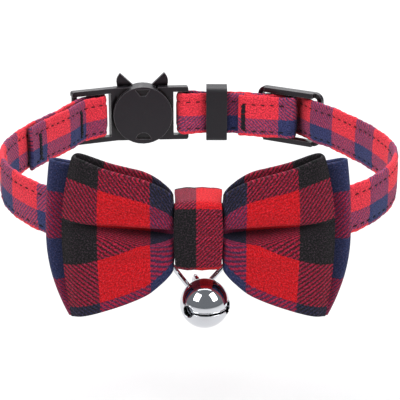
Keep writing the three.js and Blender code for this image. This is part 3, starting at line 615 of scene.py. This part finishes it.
def makeBarTacks():
    # dense stitches across the strap that hold its folded ends: place, side, lower and upper end
    ends = []
    total = strapTrack.length
    spots = ((barTack["atStart"], -1, -3.4, 2.5),
             (total - strapSize["sewnEnd"] + barTack["afterSewn"], 1, -3.6, 2.7),
             (total - barTack["beforeEnd"], 1, -3.4, 2.4))
    for s, sign, low, high in spots:
        z = low
        while z < high:
            for shift in barTack["shifts"]:
                middle = s + shift + randomDraws.uniform(*barTack["drift"])
                a, lift = strapSpot(middle - barTack["reach"], z, sign)
                b, _ = strapSpot(middle + barTack["reach"], z + randomDraws.uniform(*barTack["climb"]), sign)
                ends.append((a, b, lift))
            z += barTack["step"]
    return threads("bar_tacks", ends, barTack["radius"])


strapPiece = makeStrap()
strapPiece.data.materials.append(strapCloth)
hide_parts("strap")
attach(strapPiece, "root")
for piece in (makeStitches(), makeBarTacks()):
    piece.data.materials.append(threadFinish)
    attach(piece, "root")
print("strap made, length in mm:", round(strapTrack.length, 1))

# Bows: closed cloth loops, pinched in the knot

stack = {"cloth": 1.1, "gap": 0.3, "knotFront": -48.0, "knotWall": 1.2, "knotWidth": 8.6, "partingStep": 1.8,
         "partingRun": 5.5, "tipRadius": 1.4, "lipRise": 0.25}
partMiddle = stack["knotFront"] + stack["knotWall"] + stack["gap"] + 2 * stack["cloth"] + stack["gap"] * 1.5
partWing = partMiddle + stack["partingStep"]
frontBow = {"half": 24.8, "tall": 15.7, "tip": partWing - 3.05, "bulge": 2.8, "topCorner": 0.09,
            "bottomCorner": 0.05, "clothTop": 16.9, "clothBottom": -14.6}
backBow = {"half": 28.2, "tall": 15.3, "tip": partWing + 1.55, "bulge": 1.6, "topCorner": 0.04,
           "bottomCorner": 0.13, "clothShift": -0.7}
pleat = {"deep": 3.2, "width": 3.0, "atKnot": 2.3, "atTip": 4.4, "lipRun": 0.45, "flat": 0.12}
# creases that fan out of the knot: where they start and fade along the wing, and their depths
crease = {"start": (0.17, 0.26), "frontFade": (0.45, 0.85), "backFade": (0.4, 0.8), "deep": 0.42,
          "fine": 0.24, "share": 0.6, "sway": 0.12, "back": 0.25}
# each row of a wing: place along it, then shares of the bow's height, bulge and pleat there
frontWing = [
    {"at": 0, "height": 0.25, "lift": 0.145, "face": 0.54, "pleat": 0},
    {"at": 0.174, "height": 0.25, "lift": 0.145, "face": 0.54, "pleat": 0},
    {"at": 0.181, "height": 0.43, "lift": 0.14, "face": 0.6, "pleat": 0.25},
    {"at": 0.205, "height": 0.49, "lift": 0.14, "face": 0.7, "pleat": 0.4},
    {"at": 0.26, "height": 0.57, "lift": 0.13, "face": 0.84, "pleat": 0.75},
    {"at": 0.39, "height": 0.7, "lift": 0.1, "face": 1, "pleat": 1},
    {"at": 0.7, "height": 0.865, "lift": 0.065, "face": 0.95, "pleat": 0.6},
    {"at": 0.9, "height": 0.96, "lift": 0.065, "face": 0.62, "pleat": 0.3},
    {"at": 1, "height": 0.985, "lift": 0.055, "face": 0, "pleat": 0.1},
]
backWing = [
    {"at": 0, "height": 0.235, "lift": 0.13, "rear": -0.4},
    {"at": 0.155, "height": 0.235, "lift": 0.13, "rear": -0.4},
    {"at": 0.19, "height": 0.42, "lift": 0.14, "rear": -0.2},
    {"at": 0.25, "height": 0.56, "lift": 0.12, "rear": 0.2},
    {"at": 0.4, "height": 0.73, "lift": 0.06, "rear": 0.85},
    {"at": 0.7, "height": 0.88, "lift": -0.02, "rear": 1},
    {"at": 0.9, "height": 0.97, "lift": -0.05, "rear": 0.88},
    {"at": 1, "height": 1, "lift": -0.05, "rear": 0.8},
]


def smoothStep(low, high, x):
    t = max(0.0, min(1.0, (x - low) / (high - low)))
    return t * t * (3 - 2 * t)


def parting(x):
    # the plane between the two bows, which bends back beside the knot
    start = stack["knotWidth"] / 2
    t = smoothStep(start - stack["gap"], start + stack["partingRun"], abs(x))
    return partMiddle + (partWing - partMiddle) * t


def endRound(share, half):
    # 1 along a wing, and down to 0 round the fold at its end
    start = 1 - stack["tipRadius"] / half
    t = max(0.0, (share - start) / (1 - start))
    return math.sqrt(max(0.0, 1 - t * t))


def pleatProfile(z, lip, width, groove):
    # the upper lobe rolls over the lower: depth into the bow at height z
    if z > lip:
        return groove * 0.9 * math.exp(-((z - lip) / pleat["lipRun"]))
    t = (lip - z) / width
    return groove * 0.95 * math.exp(-(max(0, t - pleat["flat"]) * 1.9) ** 2)


def wingRead(table, bow, share, k):
    # share runs from -1 to 1 along the bow and k from -1 to 1 up it
    s, side = abs(share), (1 if share >= 0 else -1)
    read = {name: between(table, name, s) for name in table[0] if name != "at"}
    tall, middle = bow["tall"] * read["height"], bow["tall"] * read["lift"]
    corner = bow["topCorner"] if k > 0 else bow["bottomCorner"]
    x = side * bow["half"] * s * (1 - corner * k * k * s ** 3)
    return s, side, read, tall, middle, x


def frontPoint(share, k, face):
    # face -1 is the bow's front and 1 its rear
    s, side, read, tall, middle, x = wingRead(frontWing, frontBow, share, k)
    z = middle + tall * k
    lip = pleat["atKnot"] + (pleat["atTip"] - pleat["atKnot"]) * s
    width = min(pleat["width"], tall * 0.4) * (0.35 + 0.65 * read["pleat"])
    if face < 0:
        edge = 1 - 0.2 * k * k * s
        fan = smoothStep(*crease["start"], s) * (1 - smoothStep(*crease["frontFade"], s))
        folds = crease["deep"] * math.sin(k * 9 + side) + crease["fine"] * math.sin(k * 17 + 2 + side)
        y = frontBow["tip"] - frontBow["bulge"] * read["face"] * edge
        y += pleatProfile(z, lip, width, pleat["deep"] * read["pleat"])
        y += fan * folds * (1 - abs(k) ** 4) * crease["share"]
        y += crease["sway"] * math.sin(z * 0.8 + s * 7) * s * (1 - s)
        up = smoothStep(lip - width, lip, z)
    else:
        rear = parting(x) - stack["gap"] / 2 - frontBow["tip"]
        y = frontBow["tip"] + rear * endRound(s, frontBow["half"])
        up = smoothStep(-0.6, 0.6, k)
    # the cloth is read from its top edge above the pleat, and from its bottom edge below
    fromTop = frontBow["clothTop"] - (middle + tall - z)
    fromBottom = frontBow["clothBottom"] + (z - middle + tall)
    return (x, y, z), (s * frontBow["half"], fromBottom + (fromTop - fromBottom) * up)


def backPoint(share, k, face):
    s, side, read, tall, middle, x = wingRead(backWing, backBow, share, k)
    tipRound = endRound(s, backBow["half"])
    if face < 0:
        y = backBow["tip"] + (parting(x) + stack["gap"] / 2 - backBow["tip"]) * tipRound
    else:
        fan = smoothStep(*crease["start"], s) * (1 - smoothStep(*crease["backFade"], s))
        y = backBow["tip"] + backBow["bulge"] * read["rear"] * tipRound
        y -= crease["back"] * fan * (1 + math.sin(k * 11 + side))
    return (x, y, middle + tall * k), (s * backBow["half"], k * backBow["tall"] + backBow["clothShift"])


def clothLoop(name, pointAt, half, stations, levels):
    # outer surface from the function; the inner one stands a cloth's thickness inside it
    inset = 1 - stack["cloth"] / half

    def inner(share, k, face):
        x, y, z = pointAt(share * inset, k, face)[0]
        other = pointAt(share * inset, k, -face)[0][1]
        room = abs(other - y) - stack["gap"] / 2
        reach = min(stack["cloth"], room / 2)
        return x, (y + other) / 2 if abs(share) == 1 else y - face * reach, z

    last = len(stations) - 1
    loop = [(math.copysign(stations[abs(j)], j), -1) for j in range(-last, last + 1)]
    loop += [(math.copysign(stations[abs(j)], j), 1) for j in range(last - 1, -last, -1)]
    rings, uvs = [], []
    for share, face in loop:
        column = [pointAt(share, k, face) for k in levels]
        inside = [inner(share, k, face) for k in levels]
        flat = [uv for _, uv in column]
        top, bottom = [tuple((c + d) / 2 for c, d in zip(column[e][0], inside[e])) for e in (-1, 0)]
        rings.append([q for q, _ in column] + [(top[0], top[1], top[2] + stack["lipRise"])] + inside[::-1]
                     + [(bottom[0], bottom[1], bottom[2] - stack["lipRise"])])
        uvs += flat + [flat[-1]] + flat[::-1] + [flat[0]]
    return makePiece(name, [q for r in rings for q in r], loftRings(rings, True), uvs)


# close together at the pinch, where the cloth bends most, and again at the tip
pinchStations = [0, 0.06, 0.12, 0.16, 0.172, 0.177, 0.181, 0.188, 0.195, 0.205, 0.22, 0.24, 0.26, 0.285,
                 0.31, 0.34, 0.37]
wingStations = pinchStations + [0.37 + 0.63 * math.sin(math.pi / 2 * i / 26) for i in range(1, 27)]
pleatLevels = [0.02, 0.07, 0.11, 0.16, 0.2, 0.25, 0.29]
frontLevels = sorted(set([round(-1 + 2 * i / 44, 4) for i in range(45)] + pleatLevels))
backLevels = [-1 + i / 12 for i in range(25)]
bowFrontPiece = clothLoop("bow_front_cloth", frontPoint, frontBow["half"], wingStations, frontLevels)
bowBackPiece = clothLoop("bow_back_cloth", backPoint, backBow["half"], wingStations, backLevels)
for piece, cloth, node, size in ((bowFrontPiece, frontCloth, "bow_front", (0.1, 0.031)),
                                 (bowBackPiece, backCloth, "bow_back", (0.113, 0.031))):
    piece.data.materials.append(cloth)
    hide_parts(node)
    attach(piece, "root")
print("bows made")

# Knot band round both bows and the strap

knot = {"front": stack["knotFront"], "rear": -35.0, "top": 8.8, "bottom": -4.4, "rearTop": 7.5,
        "rearBottom": -7.1, "half": stack["knotWidth"] / 2, "wall": stack["knotWall"], "crown": 0.4,
        "topRadius": 2.2, "bottomRadius": 1.8, "rearRadius": 1.4, "sway": 0.07, "tuck": 0.03,
        "inside": 0.985}


def makeKnot():
    corners = [(knot["front"], knot["bottom"], knot["bottomRadius"]),
               (knot["front"], knot["top"], knot["topRadius"]),
               (knot["rear"], knot["rearTop"], knot["rearRadius"]),
               (knot["rear"], knot["rearBottom"], knot["rearRadius"])]
    path = []
    for i, (y, z, radius) in enumerate(corners):
        before, after = corners[i - 1], corners[(i + 1) % 4]
        inDir = Vector((y - before[0], z - before[1])).normalized()
        outDir = Vector((after[0] - y, after[1] - z)).normalized()
        turn = math.acos(inDir.dot(outDir))
        start = Vector((y, z)) - inDir * radius * math.tan(turn / 2)
        normal = Vector((-inDir.y, inDir.x))
        centre = start - normal * radius
        for k in range(9):
            c, w = math.cos(-turn * k / 8), math.sin(-turn * k / 8)
            out = Vector((normal.x * c - normal.y * w, normal.x * w + normal.y * c))
            path.append((centre + out * radius, out))
    dense = []
    for i, (p, out) in enumerate(path):
        q, nextOut = path[(i + 1) % len(path)]
        parts = max(1, int((q - p).length / 0.7))
        dense += [(p.lerp(q, j / parts), out.lerp(nextOut, j / parts).normalized()) for j in range(parts)]
    rings, uvs, length = [], [], 0.0
    for i, (p, out) in enumerate(dense):
        if i:
            length += (p - dense[i - 1][0]).length
        ring = []
        for x in [knot["half"] * math.sin(math.pi / 2 * j / 9) for j in range(-9, 10)]:
            t = x / knot["half"]
            sway = knot["sway"] * math.sin(x * 2.3 + length * 0.25) * (1 - t * t)
            bulge = sway - knot["crown"] * abs(t) ** 4
            tuck = 1 - knot["tuck"] * math.cos(length * 0.4)
            ring.append((x * tuck, p.x + out.x * bulge, p.y + out.y * bulge))
            uvs.append((x, length))
        for x in [knot["half"] * math.sin(math.pi / 2 * j / 5) for j in range(5, -6, -1)]:
            ring.append((x * knot["inside"], p.x - out.x * knot["wall"], p.y - out.y * knot["wall"]))
            uvs.append((x, length))
        rings.append(ring)
    return makePiece("knot_cloth", [q for r in rings for q in r], loftRings(rings, True), uvs), length


knotPiece, knotLength = makeKnot()
knotPiece.data.materials.append(knotCloth)
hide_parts("knot_band")
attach(knotPiece, "root")
print("knot made, length in mm:", round(knotLength, 1))

# Bell: a thin pressed ball with its slit, end holes and raised lips

bellSize = {"radius": 4.6, "wall": 0.5, "slit": 0.45, "hole": 1.2, "holeAngle": 56, "loop": 1.95,
            "loopWire": 0.45, "turn": 14, "dip": 5, "lip": 0.11, "lipOut": 0.07, "sharpFrom": 40}


def primitive(maker, **settings):
    body = bmesh.new()
    maker(body, **settings)
    mesh = bpy.data.meshes.new("cutter")
    body.to_mesh(mesh)
    body.free()
    piece = bpy.data.objects.new("cutter", mesh)
    bpy.context.scene.collection.objects.link(piece)
    return piece


def cutAway(piece, cutter):
    change = piece.modifiers.new("cut", "BOOLEAN")
    change.operation = "DIFFERENCE"
    change.object = cutter
    change.solver = "EXACT"
    graph = bpy.context.evaluated_depsgraph_get()
    mesh = bpy.data.meshes.new_from_object(piece.evaluated_get(graph))
    piece.modifiers.clear()
    piece.data = mesh
    bpy.data.objects.remove(cutter)


def makeBell():
    r, wall = bellSize["radius"], bellSize["wall"]
    sphere = bmesh.ops.create_uvsphere
    body = primitive(sphere, u_segments=96, v_segments=64, radius=r)
    cutAway(body, primitive(sphere, u_segments=48, v_segments=32, radius=r - wall))
    depth = r * math.cos(math.radians(bellSize["holeAngle"]))
    slit = Matrix.Translation((0, 0, depth + r / 2)) @ Matrix.Diagonal((2 * r, bellSize["slit"], r, 1))
    cutAway(body, primitive(bmesh.ops.create_cube, size=1.0, matrix=slit))
    hole = bellSize["hole"]
    for side in (-1, 1):
        aside = Matrix.Rotation(side * math.radians(bellSize["holeAngle"]), 4, "Y")
        place = aside @ Matrix.Translation((0, 0, r))
        cutAway(body, primitive(bmesh.ops.create_cone, cap_ends=True, segments=32, radius1=hole,
                                radius2=hole, depth=r, matrix=place))
    body.name = "bell_ball"
    return body


def ringTube(centres, radius, sides=16):
    # a closed round wire through points, as lists of points and faces
    c = np.array(centres)
    rings = []
    for i, p in enumerate(c):
        t = Vector(c[(i + 1) % len(c)] - c[i - 1]).normalized()
        side = t.cross(Vector((0, 1, 0)) if abs(t.y) < 0.9 else Vector((1, 0, 0))).normalized()
        up = side.cross(t)
        rings.append([tuple(Vector(p) + side * math.cos(2 * math.pi * k / sides) * radius
                            + up * math.sin(2 * math.pi * k / sides) * radius) for k in range(sides)])
    return [q for ring in rings for q in ring], loftRings(rings, True)


def bellPlace():
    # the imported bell's middle, and its axes: side, up and out through the slit
    turn, dip = math.radians(bellSize["turn"]), math.radians(bellSize["dip"])
    axis = Vector((math.sin(turn) * math.cos(dip), -math.cos(turn) * math.cos(dip), -math.sin(dip)))
    side = Vector((0, 0, 1)).cross(axis).normalized()
    up = axis.cross(side)
    low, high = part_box("bell_shell")
    r = bellSize["radius"]
    middle = Vector((high[0] / mm - r, low[1] / mm + r, low[2] / mm + r))
    basis = Matrix((side, up, axis)).transposed().to_4x4()
    return Matrix.Translation(middle) @ basis


def seat(piece, place):
    piece.data.transform(Matrix.Scale(mm, 4) @ place)
    for polygon in piece.data.polygons:
        polygon.use_smooth = True


bellAt = bellPlace()
ball = makeBell()
seat(ball, bellAt)
ball.data.set_sharp_from_angle(angle=math.radians(bellSize["sharpFrom"]))
loopReach = -bellSize["radius"] + bellSize["wall"] / 2 - bellSize["loop"]
loopRing = [(0, bellSize["loop"] * math.cos(a), loopReach + bellSize["loop"] * math.sin(a))
            for a in [2 * math.pi * i / 40 for i in range(40)]]
loopPoints, loopFaces = ringTube([bellAt @ Vector(p) for p in loopRing], bellSize["loopWire"])
bellLoop = makePiece("bell_loop", loopPoints, loopFaces)


def lipOutline():
    # round the slit and both end holes, as angles on the ball
    across = math.radians(bellSize["holeAngle"])
    reach = (bellSize["hole"] + bellSize["lipOut"]) / bellSize["radius"]
    rise = (bellSize["slit"] / 2 + bellSize["lipOut"]) / bellSize["radius"]
    meet = math.asin(rise / reach)
    end = across - reach * math.cos(meet)
    spots = []
    for side in (1, -1):
        spots += [(side * end * (i / 15 - 1), -side * rise) for i in range(30)]
        turns = [meet + math.pi + (2 * math.pi - 2 * meet) * j / 24 for j in range(25)]
        spots += [(side * (across + reach * math.cos(a)), side * reach * math.sin(a)) for a in turns]
    r = bellSize["radius"]
    return [(r * math.sin(u) * math.cos(v), r * math.sin(v), r * math.cos(u) * math.cos(v))
            for u, v in spots]


lipPoints, lipFaces = ringTube([bellAt @ Vector(p) for p in lipOutline()], bellSize["lip"], 10)
bellLip = makePiece("bell_lip", lipPoints, lipFaces)
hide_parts("bell_shell")
for piece in (ball, bellLoop, bellLip):
    piece.data.materials.clear()
    piece.data.materials.append(chromeFinish)
    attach(piece, "root")


ringSize = {"half": 5.15, "corner": 1.1, "foot": 2.4, "tall": 7.45, "straight": 2.0, "wire": 0.5,
            "turn": 2, "aside": -0.1}


def ringLine():
    # the D ring's wire: flat bar, straight sides that lean in, round foot; mm, as in the part
    half, corner, foot = ringSize["half"], ringSize["corner"], ringSize["foot"]
    straight, footRise = ringSize["straight"], ringSize["foot"] - ringSize["tall"]
    dx, dz = -(half - corner), footRise + straight
    lean = math.atan2(dx, -dz) + math.asin((foot - corner) / math.hypot(dx, dz))
    # each arc: middle, radius, first and last angle, steps
    arcs = [(half - corner, -corner, corner, math.pi / 2, 0, 8),
            (half - corner, -straight, corner, 0, lean, 6),
            (0, footRise, foot, lean, -math.pi - lean, 30),
            (corner - half, -straight, corner, math.pi - lean, math.pi, 6),
            (corner - half, -corner, corner, math.pi, math.pi / 2, 8)]
    line = []
    for x, z, radius, start, end, steps in arcs:
        angles = [start + (end - start) * i / steps for i in range(steps + 1)]
        line += [(x + radius * math.cos(a), 0, z + radius * math.sin(a)) for a in angles]
    return line


ringLow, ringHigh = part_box("d_ring")
ringMiddle = (Vector(ringLow) + Vector(ringHigh)) / 2 / mm
ringTurn = Matrix.Rotation(math.radians(ringSize["turn"]), 4, "Y")
turned = [ringTurn @ Vector(q) for q in ringLine()]
drop = ringHigh[2] / mm - ringSize["wire"] - max(q.z for q in turned)
ringCentres = [(q.x + ringSize["aside"], ringMiddle.y, q.z + drop) for q in turned]
ringPoints, ringFaces = ringTube(ringCentres, ringSize["wire"])
ringPiece = makePiece("ring_wire", ringPoints, ringFaces)
ringPiece.data.materials.append(chromeFinish)
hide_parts("d_ring")
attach(ringPiece, "root")
print("bell and ring made")

# Pieces carried over from the part: their finish and how wide their edges are softened, in mm

carried = {
    "buckle_housing": (glossBlack, 0.24), "buckle_tongue": (glossBlack, 0.14), "slider": (glossBlack, 0.22),
    "keeper": (matteBlack, 0.18), "bell_pellet": (ballFinish, 0.0),
}
weldReach = 0.01 * mm
bevelFrom = math.radians(35)
for node, (material, edge) in carried.items():
    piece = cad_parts[node]
    piece.data.materials.clear()
    piece.data.materials.append(material)
    for polygon in piece.data.polygons:
        polygon.use_smooth = edge == 0
    weld = piece.modifiers.new("weld", "WELD")
    weld.merge_threshold = weldReach
    if edge:
        soften = piece.modifiers.new("soft edges", "BEVEL")
        soften.width = edge * mm
        soften.segments = 3
        soften.limit_method = "ANGLE"
        soften.angle_limit = bevelFrom
        soften.harden_normals = False
        shade = piece.modifiers.new("shade", "WEIGHTED_NORMAL")
        shade.keep_sharp = False
    else:
        finer = piece.modifiers.new("finer", "SUBSURF")
        finer.levels = 2
        finer.render_levels = 2
print("carried pieces finished")


# Floor, light and world

stage = {"floorHalf": 3.0, "floorHeight": -0.055, "floorColour": (0.66, 0.66, 0.66),
         "sky": (0.9, 0.94, 1.0, 1), "skyStrength": 0.25}
# each light: place, size, power and what it points at
softboxes = {
    "leftSoftbox": ((-0.45, -0.45, 0.55), (0.4, 0.5), 3.6, (0, 0, 0)),
    "rightSoftbox": ((0.5, -0.35, 0.5), (0.35, 0.5), 3.0, (0, 0, 0)),
    "overhead": ((0, 0.25, 0.8), (0.9, 0.7), 4.5, (0, 0, 0)),
    "behind": ((0, 1.0, 0.42), (1.6, 0.3), 3.2, (0, 0, 0)),
    "backdrop": ((0, 0.9, 0.9), (2.2, 0.8), 16, (0, 0.75, -0.05)),
}


def makeFloor():
    half = stage["floorHalf"]
    mesh = bpy.data.meshes.new("floor")
    mesh.from_pydata([(-half, -half, 0), (half, -half, 0), (half, half, 0), (-half, half, 0)], [],
                     [(0, 1, 2, 3)])
    floor = bpy.data.objects.new("floor", mesh)
    floor.location = (0, 0, stage["floorHeight"])
    bpy.context.scene.collection.objects.link(floor)
    floor.data.materials.append(grainyFinish("paleFloor", stage["floorColour"], roughness=0.8, grain=30))


def areaLight(name, place, size, power, aim):
    light = bpy.data.lights.new(name, "AREA")
    light.shape = "RECTANGLE"
    light.size, light.size_y = size
    light.energy = power
    lamp = bpy.data.objects.new(name, light)
    lamp.location = place
    lamp.rotation_euler = (Vector(aim) - Vector(place)).to_track_quat("-Z", "Y").to_euler()
    bpy.context.scene.collection.objects.link(lamp)


makeFloor()
for name, settings in softboxes.items():
    areaLight(name, *settings)
world = bpy.data.worlds.new("studio")
world.use_nodes = True
sky = world.node_tree.nodes["Background"]
sky.inputs["Color"].default_value = stage["sky"]
sky.inputs["Strength"].default_value = stage["skyStrength"]
bpy.context.scene.world = world
bpy.context.scene.view_settings.view_transform = "Standard"
print("stage made")
